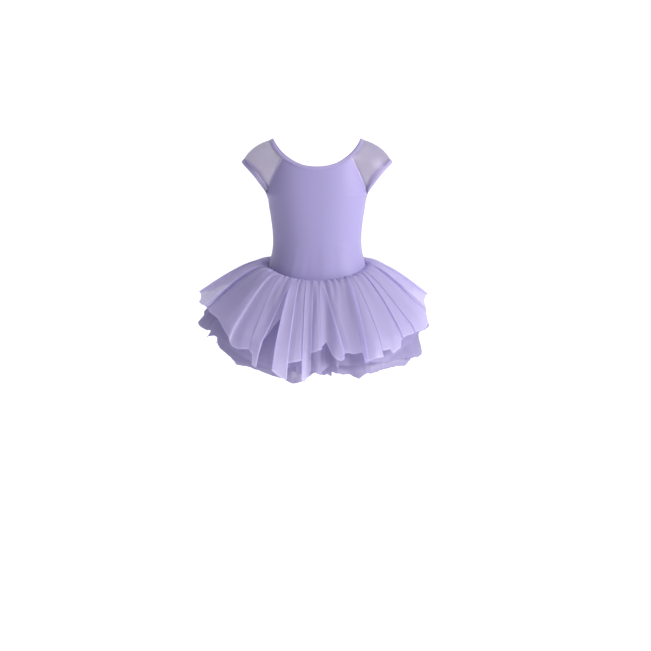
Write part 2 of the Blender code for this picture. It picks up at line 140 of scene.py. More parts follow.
CREASES_BACK = (
    (-0.060, -0.136, 0.030, 0.0080, -44.0, 0.0003),
    (0.059, -0.137, 0.030, 0.0080, 45.0, 0.0003),
    (-0.020, -0.186, 0.042, 0.0065, 6.0, -0.0008),
    (0.015, -0.197, 0.044, 0.0065, -5.0, 0.0007),
    (-0.010, -0.207, 0.040, 0.0065, 3.0, -0.0007),
    (0.052, -0.178, 0.026, 0.0055, -16.0, -0.0005),
    (-0.053, -0.176, 0.026, 0.0055, 15.0, 0.0004),
    (0.000, -0.110, 0.040, 0.0080, 90.0, -0.0006),
    (0.026, -0.232, 0.022, 0.0055, 84.0, 0.0005),
    (-0.031, -0.230, 0.024, 0.0055, 98.0, -0.0005),
)

# Tulle layers
LAYER_COLUMNS = (
    "front_out", "front_down", "front_lift",
    "side_out", "side_down", "side_lift",
    "back_out", "back_down", "back_lift",
)
LAYERS = (
    (0.1220, 0.1130, 0.0140, 0.1270, 0.0660, 0.0230, 0.1220, 0.0640, 0.0300),
    (0.1130, 0.1320, 0.0090, 0.1250, 0.1060, 0.0130, 0.1190, 0.1080, 0.0160),
    (0.1020, 0.1470, 0.0040, 0.1140, 0.1420, 0.0060, 0.1120, 0.1420, 0.0060),
    (0.0900, 0.1600, 0.0000, 0.1040, 0.1610, 0.0000, 0.1020, 0.1610, 0.0000),
)
SIDE_LEAN = 0.06
WAIST_SEAM_GAP = 0.0005
LAYER_STEP = 0.0015
LAYER_DROP = 0.0003
LIFT_AT = 0.15
BELLY_AT = (0.60, 0.42)
GATHER_WAVES = 24
GATHER_HEIGHT_AT_SEAM = 0.0008
GATHER_START = 0.10
GATHER_HEIGHT_AT_HEM = (0.0080, 0.0075, 0.0070, 0.0060)
GATHER_GROWTH = 1.3
GATHER_DRIFT = 0.35
HEM_UNEVENNESS = 0.035
# The largest folds, with the columns azimuth, half_width, height, the first two in degrees
LARGE_FOLDS = (
    (-100.0, 16.0, 0.010),
    (-76.0, 12.0, -0.012),
    (-52.0, 15.0, 0.010),
    (-22.0, 9.0, 0.008),
    (8.0, 7.0, -0.010),
    (34.0, 12.0, 0.008),
    (63.0, 12.0, -0.009),
    (92.0, 16.0, 0.010),
    (128.0, 14.0, -0.008),
    (163.0, 14.0, 0.009),
    (-135.0, 14.0, -0.008),
)

# Puckers below the seam, with the columns waves, height, peak, faded, left: waves round the waist,
# height, shares of the length where they are highest and have faded, and how much is left there
PUCKERS = (
    (43, 0.0011, 0.08, 0.34, 0.14),
    (71, 0.0012, 0.05, 0.21, 0.06),
    (127, 0.0009, 0.03, 0.12, 0.00),
)
WAVES_KEPT = 0.17
LOWER_WAVES_KEPT = 0.22
LARGE_KEPT = 0.60
LOWER_FOLDS = 0.16

# Folds where the cloth laps over itself, on the top layer's front, with the columns azimuth, slant,
# half_width, height, over: azimuth at the hem, how far it has turned there from the seam and half
# width, all in degrees, height, and 1 where the side nearer the wearer's right lies on top, -1 for
# the other
TOP_FOLDS = (
    (-77.0, 0.0, 10.0, 0.0070, 1.0),
    (-63.0, 4.0, 5.0, 0.0012, -1.0),
    (-48.0, 0.0, 7.0, 0.0024, 1.0),
    (-38.0, 2.0, 4.5, 0.0018, -1.0),
    (-33.6, -11.0, 4.0, 0.0036, 1.0),
    (-24.4, 0.0, 4.2, 0.0048, -1.0),
    (-18.2, 0.0, 3.6, 0.0028, 1.0),
    (-9.8, 1.0, 2.6, 0.0024, -1.0),
    (-4.6, -1.0, 2.6, 0.0022, 1.0),
    (4.2, 2.0, 3.0, 0.0024, -1.0),
    (17.5, 14.0, 4.0, 0.0040, 1.0),
    (29.5, -3.0, 5.0, 0.0052, 1.0),
    (38.0, 0.0, 4.5, 0.0018, -1.0),
    (50.0, -2.0, 5.0, 0.0030, -1.0),
    (58.5, 2.0, 5.0, 0.0022, -1.0),
    (75.0, 0.0, 8.0, 0.0052, -1.0),
)
FOLD_SPACING = (11.0, 23.0)
FOLD_HEIGHT = (0.0022, 0.0052)
FOLD_SLANT = 6.0
FOLD_EDGE = 0.12
FOLD_LAP = 1.5
LINE_HALF_WIDTH = 0.22
TULLE_COLUMNS = 1280
TULLE_ROWS = (58, 36, 34, 34)
TULLE_FLAT_LENGTH = 1.24

# How much denser the layers look round the sides and back, from which azimuth in degrees this
# starts, and over how many degrees it grows
SIDE_FULLNESS = 0.16
SIDE_FULL_FROM = 58.0
SIDE_FULL_OVER = 22.0

# How much denser sheer cloth looks at a layer's cut hem, waist seam and lapped edges and at a sleeve's
# edges. The seam's reach is a share of the layer's length, and the other two are in metres
HEM_DENSITY = 0.22
HEM_REACH = 0.0016
SEAM_DENSITY = 0.25
SEAM_REACH = 0.03
LAP_DENSITY = 0.20
SLEEVE_EDGE_DENSITY = 0.35
SLEEVE_EDGE_REACH = 0.0028

# How deep in its solid's wall a sleeve's mesh lies
SLEEVE_DEPTH = 0.0006

# The cut hems round the front, with the columns layer, azimuth, length: azimuth in degrees from the
# front towards the wearer's left, and length as a share of the layer's
HEMS = (
    (0, -90.0, 1.00), (0, -84.0, 0.99), (0, -78.0, 0.93), (0, -71.0, 0.93), (0, -66.0, 0.97),
    (0, -58.0, 1.00), (0, -54.0, 1.04), (0, -50.0, 1.10), (0, -46.0, 1.16), (0, -43.0, 1.16),
    (0, -39.0, 1.10), (0, -36.2, 1.12), (0, -35.8, 1.22), (0, -33.8, 1.22), (0, -33.4, 1.00),
    (0, -28.0, 0.78), (0, -25.0, 0.66), (0, -24.6, 1.18), (0, -18.6, 1.22), (0, -18.2, 1.07),
    (0, -10.4, 1.06), (0, -10.0, 1.20), (0, -8.2, 1.26), (0, -6.0, 1.20), (0, -5.0, 1.14),
    (0, -4.6, 1.01), (0, 0.0, 0.97), (0, 4.0, 0.92), (0, 7.3, 0.86), (0, 9.4, 0.93),
    (0, 11.8, 1.01), (0, 15.5, 1.09), (0, 18.7, 1.08), (0, 19.2, 1.03), (0, 24.0, 1.06),
    (0, 27.0, 1.07), (0, 27.6, 1.16), (0, 30.0, 1.18), (0, 38.0, 1.17), (0, 38.6, 1.11),
    (0, 42.4, 1.12), (0, 43.2, 1.17), (0, 47.0, 1.15), (0, 48.0, 1.08), (0, 52.0, 1.08),
    (0, 60.0, 1.10), (0, 66.0, 1.16), (0, 70.0, 1.17), (0, 73.0, 1.13), (0, 77.0, 1.00),
    (0, 81.0, 0.95), (0, 90.0, 0.93),
    (1, -90.0, 1.00), (1, -60.0, 1.00), (1, -40.0, 1.03), (1, -26.0, 1.06), (1, -12.0, 1.04),
    (1, 6.0, 1.03), (1, 24.0, 1.03), (1, 44.0, 1.06), (1, 60.0, 1.04), (1, 90.0, 1.00),
    (2, -90.0, 0.97), (2, -78.0, 0.96), (2, -66.0, 0.95), (2, -60.0, 0.96), (2, -48.0, 1.00),
    (2, -24.0, 1.03), (2, -6.0, 1.00), (2, 24.0, 1.01), (2, 54.0, 1.04), (2, 72.0, 1.06),
    (2, 90.0, 1.00),
    (3, -90.0, 0.94), (3, -78.0, 0.92), (3, -66.0, 0.94), (3, -54.0, 1.00), (3, -36.0, 1.03),
    (3, -12.0, 1.02), (3, 0.0, 1.00), (3, 12.0, 0.96), (3, 22.0, 1.00), (3, 30.0, 1.06),
    (3, 36.0, 1.03), (3, 60.0, 1.01), (3, 78.0, 1.01), (3, 90.0, 0.96),
)
# Narrow strips that hang from the lower layers' hems: layer, azimuth and half width in
# degrees, and length past the hem as a share of the layer's
STRIPS = (
    (1, -13.0, 1.1, 0.08), (1, 2.0, 2.0, 0.02), (1, 14.0, 1.2, 0.02), (1, 61.0, 2.0, 0.02),
    (1, 126.0, 2.6, 0.02), (1, 171.0, 2.4, 0.03),
    (2, -20.0, 2.4, 0.04), (2, 8.0, 3.0, 0.03), (2, 33.0, 2.6, 0.04),
    (2, 140.0, 2.4, 0.03), (2, -146.0, 2.2, 0.03),
    (3, -170.0, 2.4, 0.02),
)

# Sewing
STITCH_LENGTH = 0.0022
STITCH_PITCH = 0.0031
THREAD_RADIUS = 0.00022
STITCH_INSET = 0.0016
STITCH_SINK = 0.0001
STITCH_END_SINK = 0.0002
STITCH_STEPS = 6
STITCH_SIDES = 6
GROOVE_DEPTH = 0.0003
GROOVE_HALF_WIDTH = 0.0006
STRIP_EDGE_SHARE = 0.80
STRIP_POINTS_ACROSS = 14

# The raised raglan seams. SEAM_OUT is the way that the left one faces behind, and the turn of the
# pucker's wave along a seam is in radians
SEAM_HALF_WIDTH = 0.0011
SEAM_HEIGHT = 0.0005
SEAM_OUT = (0.35, 0.93, 0.30)
SEAM_SIDES = 10
SEAM_PUCKER = 0.10
SEAM_PUCKER_TURN = 75.0

# Colours, linear
BODICE_COLOUR = (0.352, 0.313, 0.582)
BINDING_COLOUR = (0.385, 0.336, 0.600)
MESH_COLOUR = (0.330, 0.285, 0.450)
TULLE_COLOUR = (0.735, 0.677, 0.965)
# The lower layers' tulle colour is far darker than the top layer's. This is painted shade, standing in
# for the shade that falls in the recesses under the top layer.
LOWER_TULLE_SHADED_COLOUR = (0.430, 0.391, 0.610)
THREAD_COLOUR = (0.540, 0.470, 0.740)

# Camera: a long lens a little above the shoulders, tilted down
CAMERA_PLACE = (0.016, -2.70, 0.26)
CAMERA_TILT = math.radians(12.93)
CAMERA_LENS = 79.1
FLOOR_Z = -0.93


def unit(vectors):
    """The same vectors, each one unit long."""
    return vectors / np.linalg.norm(vectors, axis=-1, keepdims=True)


def smooth(value):
    """Rises from 0 to 1 with level ends."""
    value = np.clip(value, 0.0, 1.0)
    return value * value * (3.0 - 2.0 * value)


def mirrored(points):
    """The same points on the wearer's right."""
    return points * np.array([-1.0, 1.0, 1.0])


def neck_point(angle):
    """Points of the neck binding's centre line. Angle 0 is the front, 90 degrees the left shoulder."""
    across = np.cos(angle)
    reach = np.where(across >= 0, NECK_FRONT_REACH, NECK_BACK_REACH)
    drop = np.where(across >= 0, NECK_FRONT_DROP, NECK_BACK_DROP)
    depth = -np.sign(across) * reach * np.abs(across) ** NECK_ROUNDNESS
    height = -drop * np.abs(across) ** NECK_SCOOP
    return np.stack([NECK_HALF_WIDTH * np.sin(angle), depth, height], axis=-1)


def neck_normal(angle):
    """The cloth's outward direction at the neck."""
    front, side = np.cos(angle), np.sin(angle)
    height = 0.30 * np.abs(front) + 0.94 * np.abs(side)
    return unit(np.stack([0.35 * side, -0.95 * front, height], axis=-1))


def arm_point(angle):
    """Points of the left armhole's centre line. Angle 0 is the cap's tip, 90 degrees the front."""
    angle = np.asarray(angle, float)
    middle, half = (ARM_TIP + ARM_UNDER) / 2, (ARM_TIP - ARM_UNDER) / 2
    bow = ARM_FRONT_BOW * np.sin(angle) ** 2
    aside = np.stack([-bow, -ARM_HALF_DEPTH * np.sin(angle), np.zeros_like(bow)], axis=-1)
    return middle + np.cos(angle)[..., None] * half + aside


def arm_normal(angle):
    """The cloth's outward direction at the left armhole."""
    over, front = np.cos(angle), np.sin(angle)
    tip, under = np.maximum(over, 0.0), np.maximum(-over, 0.0)
    x = 0.80 * tip + under + 0.45 * np.abs(front)
    z = 0.60 * tip + 0.05 * under + 0.10 * np.abs(front)
    return unit(np.stack([x, -0.93 * front, z], axis=-1))


def loop_frames(point, normal, angle):
    """(places, outward normals, directions in the cloth away from the opening) of a loop."""
    step = 0.01
    angle = np.asarray(angle, float)
    along = unit(point(angle + step) - point(angle - step))
    out = normal(angle)
    out = unit(out - along * np.sum(out * along, axis=-1, keepdims=True))
    return point(angle), out, np.cross(along, out)


def neck_edge(angle):
    """Where the cloth ends inside the neck binding."""
    place, _, away = loop_frames(neck_point, neck_normal, angle)
    return place + away * (NECK_BINDING_WIDTH / 2 - TUCK)


def arm_edge(angle):
    """Where the cloth ends inside the left armhole's binding."""
    place, _, away = loop_frames(arm_point, arm_normal, angle)
    return place + away * (ARM_BINDING_WIDTH / 2 - TUCK)


def raglan_seam(neck_angle, arm_angle):
    """The left raglan seam from the neck to the armhole, bowed outwards."""
    share = np.linspace(0.0, 1.0, RAGLAN_ROWS + 1)[:, None]
    start, end = neck_edge(neck_angle), arm_edge(arm_angle)
    outward = np.array([0.35, math.copysign(0.93, start[1]), 0.0])
    return start + (end - start) * share + outward * RAGLAN_BOW * 4 * share * (1 - share)


def eased(heights, values, height):
    """A smooth curve through a table's values, heights falling, at any height."""
    heights, values = np.array(heights[::-1]), np.array(values[::-1])
    slopes = np.gradient(values, heights)
    height = np.clip(height, heights[0], heights[-1])
    k = np.clip(np.searchsorted(heights, height) - 1, 0, len(heights) - 2)
    span = heights[k + 1] - heights[k]
    t = (height - heights[k]) / span
    return (
        (2 * t**3 - 3 * t**2 + 1) * values[k]
        + (t**3 - 2 * t**2 + t) * span * slopes[k]
        + (3 * t**2 - 2 * t**3) * values[k + 1]
        + (t**3 - t**2) * span * slopes[k + 1]
    )


def torso_size(name, height):
    """A size of the torso at a height, from the table of rings."""
    heights, *_ = zip(*TORSO)
    values = [row[TORSO_COLUMNS.index(name)] for row in TORSO]
    return eased(heights, values, height)


def torso_point(turn, height, front):
    """Points of the torso at a turn from the centre line, 90 degrees at the side seam."""
    width = torso_size("half_width", height)
    depth = np.where(front, torso_size("front_depth", height), torso_size("back_depth", height))
    side = np.abs(np.sin(turn)) ** ROUNDNESS
    y = depth * (1.0 - np.minimum(side, 1.0)) ** (1.0 / ROUNDNESS)
    return np.stack([width * np.sin(turn), np.where(front, -y, y), height], axis=-1)


def panel_edge(front):
    """The left edge of the front or back panel: raglan seam, underarm, then side seam."""
    arm_side = 1.0 if front else -1.0
    neck_angle = RAGLAN_NECK_ANGLE if front else math.pi - RAGLAN_NECK_ANGLE
    raglan = raglan_seam(neck_angle, arm_side * RAGLAN_ARM_ANGLE)
    underarm = arm_edge(arm_side * np.linspace(RAGLAN_ARM_ANGLE, math.pi, UNDERARM_ROWS + 1)[1:])
    side_z = np.array([row[0] for row in ROW_HEIGHTS])
    side = np.stack([torso_size("half_width", side_z), np.zeros(len(side_z)), side_z], axis=-1)
    return np.concatenate([raglan, underarm, side])


def panel_grid(front):
    """The coarse outer points of a panel: rows from neck to waist, columns from right to left."""
    across = np.linspace(-1.0, 1.0, PANEL_COLUMNS + 1)
    neck_angles = across * RAGLAN_NECK_ANGLE
    neck_row = neck_edge(neck_angles if front else math.pi - neck_angles)
    edge = panel_edge(front)
    upper_rows = RAGLAN_ROWS + UNDERARM_ROWS
    upper = np.linspace(neck_row[PANEL_COLUMNS // 2][2], UNDERARM_MIDDLE_Z, upper_rows + 1)
    centre_name = "front_z" if front else "back_z"
    centre = [row[ROW_COLUMNS.index(centre_name)] for row in ROW_HEIGHTS]
    middle = np.concatenate([upper, centre])
    share = edge[:, 0] / torso_size("half_width", edge[:, 2])
    half_turn = np.arcsin(np.minimum(share, 1.0))
    half_turn[upper_rows:] = math.pi / 2
    height = middle[:, None] + (edge[:, 2] - middle)[:, None] * np.sin(across * math.pi / 2) ** 2
    grid = torso_point(across * half_turn[:, None], height, front)
    edge_shift = edge - grid[:, -1]
    edge_fade = np.abs(across) ** EDGE_FADE
    both_sides = np.where(across[None, :, None] < 0, mirrored(edge_shift)[:, None], edge_shift[:, None])
    grid = grid + both_sides * edge_fade[None, :, None]
    neck_fade = 1.0 - smooth(np.arange(len(grid)) / RAGLAN_ROWS)
    return grid + neck_fade[:, None, None] * (neck_row - grid[0])[None]


def softened(grid):
    """A coarse panel with its rows round the underarm evened out and its edges kept."""
    across = np.linspace(-1.0, 1.0, grid.shape[1])
    inside = 1.0 - np.abs(across) ** EDGE_KEPT
    middle = RAGLAN_ROWS + UNDERARM_ROWS
    near = np.exp(-(((np.arange(len(grid)) - middle) / UNDERARM_REACH) ** 2))
    for _ in range(UNDERARM_PASSES):
        moved = (grid[:-2] + grid[2:]) / 4 - grid[1:-1] / 2
        share = near[1:-1, None, None] * inside[None, :, None]
        grid = np.concatenate([grid[:1], grid[1:-1] + moved * share, grid[-1:]])
    return grid


def sleeve_grid():
    """The coarse outer points of the left cap sleeve: rows from neck to armhole, front to back."""
    along = np.linspace(0.0, 1.0, SLEEVE_COLUMNS + 1)
    down = np.linspace(0.0, 1.0, RAGLAN_ROWS + 1)
    neck = neck_edge(RAGLAN_NECK_ANGLE + (math.pi - 2 * RAGLAN_NECK_ANGLE) * along)
    arm = arm_edge(RAGLAN_ARM_ANGLE * (1.0 - 2.0 * along))
    front = raglan_seam(RAGLAN_NECK_ANGLE, RAGLAN_ARM_ANGLE)
    back = raglan_seam(math.pi - RAGLAN_NECK_ANGLE, -RAGLAN_ARM_ANGLE)
    s, t = along[None, :, None], down[:, None, None]
    ruled = neck[None] * (1 - t) + arm[None] * t
    crossed = front[:, None] * (1 - s) + back[:, None] * s
    corners = (1 - t) * ((1 - s) * neck[0] + s * neck[-1]) + t * ((1 - s) * arm[0] + s * arm[-1])
    patch = ruled + crossed - corners
    top = np.array([0.64, 0.0, 0.77])
    lean = np.array([0.30, 0.0, 0.30])
    side = np.cos(np.pi * along)[None, :, None] * np.array([0.0, -0.9, 0.0])
    outward = unit(np.sin(np.pi * along)[None, :, None] * top + lean + side)
    swell = CAP_RISE * 4 * t * (1 - t) * np.sin(np.pi * s) ** 0.8
    return patch + outward * swell


def finer(grid, times, axis):
    """A grid with each span along an axis cut into equal parts, on a smooth curve."""
    grid = np.moveaxis(grid, axis, 0)
    before, after = 2 * grid[:1] - grid[1:2], 2 * grid[-1:] - grid[-2:-1]
    padded = np.concatenate([before, grid, after])
    place = np.linspace(0, len(grid) - 1, (len(grid) - 1) * times + 1)
    k = np.minimum(place.astype(int), len(grid) - 2)
    t = (place - k)[:, None, None]
    a, b, c, d = (padded[k + n] for n in range(4))
    curve = b + 0.5 * t * (c - a + t * (2 * a - 5 * b + 4 * c - d + t * (3 * (b - c) + d - a)))
    return np.moveaxis(curve, 0, axis)


def grid_normals(grid):
    """The direction square to an open grid at each of its points."""
    return unit(np.cross(np.gradient(grid, axis=0), np.gradient(grid, axis=1)))


def creased(grid, normals, creases):
    """A panel with its creases pressed into it."""
    height = np.zeros(grid.shape[:2])
    for x, z, half_length, half_width, tilt, crease_height in creases:
        turn = math.radians(tilt)
        right, up = grid[..., 0] - x, grid[..., 2] - z
        along = right * math.cos(turn) + up * math.sin(turn)
        over = -right * math.sin(turn) + up * math.cos(turn)
        over = over + 0.25 * half_width * np.sin(along / half_length * 2.3)
        height += crease_height * np.exp(-((along / half_length) ** 2) - (over / half_width) ** 2)
    rows = np.linspace(0.0, 1.0, grid.shape[0])[:, None]
    fade = smooth(rows / 0.06) * smooth((1.0 - rows) / 0.04)
    return grid + normals * (height * fade)[..., None]


def grid_faces(rows, columns, closed, start=0):
    """The quads of a grid of points numbered row by row, as an array."""
    spans = columns if closed else columns - 1
    r, c = np.meshgrid(np.arange(rows - 1), np.arange(spans), indexing="ij")
    after = (c + 1) % columns
    corners = [r * columns + c, r * columns + after, (r + 1) * columns + after, (r + 1) * columns + c]
    return start + np.stack(corners, axis=-1).reshape(-1, 4)


def add_mesh(name, points, quads, material, uv, values=None):
    """A smooth mesh of quads as a piece, with a cloth map and named values on its points."""
    mesh = bpy.data.meshes.new(name)
    mesh.vertices.add(len(points))
    mesh.vertices.foreach_set("co", np.asarray(points, np.float32).ravel())
    mesh.loops.add(quads.size)
    mesh.loops.foreach_set("vertex_index", quads.astype(np.int32).ravel())
    mesh.polygons.add(len(quads))
    mesh.polygons.foreach_set("loop_start", np.arange(0, quads.size, 4, dtype=np.int32))
    mesh.update(calc_edges=True)
    layer = mesh.uv_layers.new(name="cloth")
    layer.data.foreach_set("uv", np.asarray(uv, np.float32)[quads.ravel()].ravel())
    for key, numbers in (values or {}).items():
        attribute = mesh.attributes.new(key, "FLOAT", "POINT")
        attribute.data.foreach_set("value", np.asarray(numbers, np.float32).ravel())
    mesh.validate()
    mesh.shade_smooth()
    mesh.materials.append(material)
    piece = bpy.data.objects.new(name, mesh)
    bpy.context.scene.collection.objects.link(piece)
    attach(piece, "root")
    return piece


def cloth_map(grid):
    """Lengths along a grid's rows and columns, as a flat map of its cloth in metres."""
    across = np.linalg.norm(np.diff(grid, axis=1), axis=-1)
    down = np.linalg.norm(np.diff(grid, axis=0), axis=-1)
    u = np.concatenate([np.zeros((len(grid), 1)), np.cumsum(across, axis=1)], axis=1)
    v = np.concatenate([np.zeros((1, grid.shape[1])), np.cumsum(down, axis=0)])
    return np.stack([u, v], axis=-1).reshape(-1, 2)


def add_knit(name, outer, normals, material):
    """A thin closed wall of knit under a grid."""
    rows, columns = outer.shape[:2]
    count = rows * columns
    inner = outer - normals * KNIT
    front = grid_faces(rows, columns, False)
    back = grid_faces(rows, columns, False, count)[:, ::-1]
    top = np.arange(columns)
    side = np.arange(rows) * columns
    rims = []
    for line, turned in (
        (top, True),
        (top + (rows - 1) * columns, False),
        (side, False),
        (side + columns - 1, True),
    ):
        a, b = line[:-1], line[1:]
        rim = np.stack([a, b, b + count, a + count], axis=-1)
        rims.append(rim if turned else rim[:, ::-1])
    points = np.concatenate([outer.reshape(-1, 3), inner.reshape(-1, 3)])
    uv = np.concatenate([cloth_map(outer), cloth_map(outer)])
    return add_mesh(name, points, np.concatenate([front, back, *rims]), material, uv)


def edge_distance(grid):
    """How far each point of an open grid lies from its nearest side, in metres."""
    u = cloth_map(grid)[:, 0].reshape(grid.shape[:2])
    v = cloth_map(grid)[:, 1].reshape(grid.shape[:2])
    return np.minimum(np.minimum(u, u[:, -1:] - u), np.minimum(v, v[-1:] - v))


# Materials


def node(tree, kind, inputs=(), **settings):
    """A shader node with its settings and its input values or links."""
    made = tree.nodes.new(kind)
    for key, value in settings.items():
        setattr(made, key, value)
    for key, value in dict(inputs).items():
        if isinstance(value, bpy.types.NodeSocket):
            tree.links.new(value, made.inputs[key])
        else:
            made.inputs[key].default_value = value
    return made


def new_material(name):
    """(material, its node tree, its surface input), with no nodes but the output."""
    material = bpy.data.materials.new(name)
    material.use_nodes = True
    tree = material.node_tree
    tree.nodes.clear()
    output = tree.nodes.new("ShaderNodeOutputMaterial")
    return material, tree, output.inputs["Surface"]


def cloth_bump(tree, scale, strength, distance, stretch=(1.0, 1.0, 1.0)):
    """A fine uneven relief on the cloth map."""
    place = node(tree, "ShaderNodeUVMap", uv_map="cloth").outputs["UV"]
    place = node(tree, "ShaderNodeMapping", {"Vector": place, "Scale": stretch}).outputs["Vector"]
    noise = node(tree, "ShaderNodeTexNoise", {"Vector": place, "Scale": scale, "Detail": 3.0})
    bump = {"Height": noise.outputs["Fac"], "Strength": strength, "Distance": distance}
    return node(tree, "ShaderNodeBump", bump).outputs["Normal"]


def knit_material(name, colour, roughness, sheen):
    """Smooth stretch knit with a satin face."""
    material, tree, surface = new_material(name)
    normal = cloth_bump(tree, 900.0, 0.25, 0.0002, (1.0, 0.35, 1.0))
    shader = node(
        tree,
        "ShaderNodeBsdfPrincipled",
        {
            "Base Color": (*colour, 1.0),
            "Roughness": roughness,
            "Specular IOR Level": 0.35,
            "Sheen Weight": sheen,
            "Sheen Roughness": 0.4,
            "Normal": normal,
        },
    )
    tree.links.new(shader.outputs["BSDF"], surface)
    return material


def net_cover(tree, cell, thread):
    """How much of each spot a net's threads cover: 1 on a thread and 0 in a hole."""
    place = node(tree, "ShaderNodeUVMap", uv_map="cloth").outputs["UV"]
    cells = node(
        tree,
        "ShaderNodeTexVoronoi",
        {"Vector": place, "Scale": 1.0 / cell, "Randomness": 0.45},
        feature="DISTANCE_TO_EDGE",
        voronoi_dimensions="2D",
    )
    ramp = {"Value": cells.outputs["Distance"], "From Min": 0.0, "From Max": thread}
    ramp.update({"To Min": 1.0, "To Max": 0.0})
    return node(tree, "ShaderNodeMapRange", ramp).outputs["Result"]


def mixed(tree, first, second, factor, operation=None):
    """A number worked out from two, or a blend of two numbers."""
    if operation:
        maths = node(tree, "ShaderNodeMath", {0: first, 1: second}, operation=operation)
        maths.use_clamp = True
        return maths.outputs["Value"]
    blend = {"Value": factor, "From Min": 0.0, "From Max": 1.0, "To Min": first, "To Max": second}
    return node(tree, "ShaderNodeMapRange", blend).outputs["Result"]


def net_material(name, colour, thin, dense, cell, thread, shine, through):
    """Sheer net: thin in its holes, dense on its threads, and denser where the edge value is high."""
    material, tree, surface = new_material(name)
    cover = net_cover(tree, cell, thread)
    edge = node(tree, "ShaderNodeAttribute", attribute_name="edge").outputs["Fac"]
    density = mixed(tree, thin, dense, cover)
    density = mixed(tree, density, edge, None, "ADD")
    normal = cloth_bump(tree, 260.0, 0.20, 0.0004)
    diffuse = node(tree, "ShaderNodeBsdfDiffuse", {"Color": (*colour, 1.0), "Normal": normal})
    glow = node(tree, "ShaderNodeBsdfTranslucent", {"Color": (*colour, 1.0), "Normal": normal})
    gloss = {"Color": (0.8, 0.78, 0.95, 1.0), "Roughness": 0.45, "Normal": normal}
    gloss = node(tree, "ShaderNodeBsdfAnisotropic", gloss)
    cloth = node(
        tree,
        "ShaderNodeMixShader",
        {0: through, 1: diffuse.outputs["BSDF"], 2: glow.outputs["BSDF"]},
    )
    cloth = node(
        tree, "ShaderNodeMixShader", {0: shine, 1: cloth.outputs["Shader"], 2: gloss.outputs["BSDF"]}
    )
    clear = node(tree, "ShaderNodeBsdfTransparent")
    net = {0: density, 1: clear.outputs["BSDF"], 2: cloth.outputs["Shader"]}
    net = node(tree, "ShaderNodeMixShader", net)
    tree.links.new(net.outputs["Shader"], surface)
    return material


knit = knit_material("knit", BODICE_COLOUR, 0.52, 0.12)
bound = knit_material("bound", BINDING_COLOUR, 0.5, 0.2)
thread = knit_material("thread", THREAD_COLOUR, 0.45, 0.1)
power_mesh = net_material("power_mesh", MESH_COLOUR, 0.50, 0.86, 0.0011, 0.16, 0.08, 0.25)
top_tulle = net_material("top_tulle", TULLE_COLOUR, 0.64, 0.90, 0.0013, 0.14, 0.02, 0.48)
# The lower layers' net takes the darker colour, which is painted shade. It is also denser than the top
# layer's.
shaded_lower_tulle = net_material("shaded_lower_tulle", LOWER_TULLE_SHADED_COLOUR, 0.87, 0.95, 0.0013, 0.14, 0.02, 0.45)


# Bodice


def make_bodice():
    """The two panels and the two cap sleeves."""
    for front, name in ((True, "bodice_front"), (False, "bodice_back")):
        grid = finer(finer(softened(panel_grid(front)), PANEL_FINER, 0), PANEL_FINER, 1)
        normals = grid_normals(grid) * (1.0 if front else -1.0)
        grid = creased(grid, normals, CREASES_FRONT if front else CREASES_BACK)
        panel = add_knit(f"{name}_cloth", grid, normals, knit)
        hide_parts(name)
        seams = [add_raglan_seam(front, side) for side in ("left", "right")]
    left = finer(finer(sleeve_grid(), SLEEVE_FINER, 0), SLEEVE_FINER, 1)
    edge = np.exp(-((edge_distance(left) / SLEEVE_EDGE_REACH) ** 2)) * SLEEVE_EDGE_DENSITY
    quads = grid_faces(*left.shape[:2], False)
    for side, grid in (("left", left), ("right", mirrored(left))):
        inwards = -SLEEVE_DEPTH if side == "left" else SLEEVE_DEPTH
        points = (grid + grid_normals(grid) * inwards).reshape(-1, 3)
        values = {"edge": edge}
        sleeve = add_mesh(f"sleeve_{side}_mesh", points, quads, power_mesh, cloth_map(grid), values)
        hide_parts(f"sleeve_{side}")


def add_raglan_seam(front, side):
    """The narrow raised seam where a panel meets a cap sleeve."""
    line = finer(panel_edge(front)[: RAGLAN_ROWS + 1][:, None], SEAM_FINER, 0)[:, 0]
    along = unit(np.gradient(line, axis=0))
    share = np.linspace(0.0, 1.0, len(line))[:, None]
    out = np.array(SEAM_OUT) * ((1.0, -1.0, 1.0) if front else 1.0)
    out = unit(out - along * np.sum(out * along, axis=-1, keepdims=True))
    aside = np.cross(along, out)
    turn = np.linspace(0.0, 2 * math.pi, SEAM_SIDES, endpoint=False)
    flat = np.cos(turn)[None, :, None] * aside[:, None] * SEAM_HALF_WIDTH
    raised = np.sin(turn)[None, :, None] * out[:, None] * SEAM_HEIGHT
    pucker = 1.0 + SEAM_PUCKER * np.sin(share * SEAM_PUCKER_TURN)
    grid = line[:, None] + flat + raised * pucker[:, None]
    if side == "right":
        grid = mirrored(grid)
    quads = grid_faces(*grid.shape[:2], True)
    points = grid.reshape(-1, 3)
    end = "front" if front else "back"
    seam = add_mesh(f"raglan_seam_{end}_{side}", points, quads, thread, points[:, :2])
    return seam


def binding_section(width):
    """(distance away from the opening, distance outwards) round a folded strip's section."""
    half, thick = width / 2, BINDING_THICKNESS / 2
    reach = np.linspace(half, -half + thick, STRIP_POINTS_ACROSS)
    groove = GROOVE_DEPTH * np.exp(-(((reach - half + STITCH_INSET) / GROOVE_HALF_WIDTH) ** 2))
    rise = (1.0 - STRIP_EDGE_SHARE) * np.cos(reach / half * math.pi / 2)
    crown = thick * (STRIP_EDGE_SHARE + rise) - groove
    settled = STRIP_SETTLES * np.maximum(reach / half, 0.0) ** 2
    turn = np.linspace(90.0, -90.0, 9)[1:-1] * math.pi / 180
    fold = np.stack([-half + thick - thick * np.cos(turn), thick * np.sin(turn)], axis=-1)
    outer = np.stack([reach, crown - settled], axis=-1)
    inner = np.stack([reach[::-1], -(crown + settled)[::-1]], axis=-1)
    return np.concatenate([outer, fold, inner])


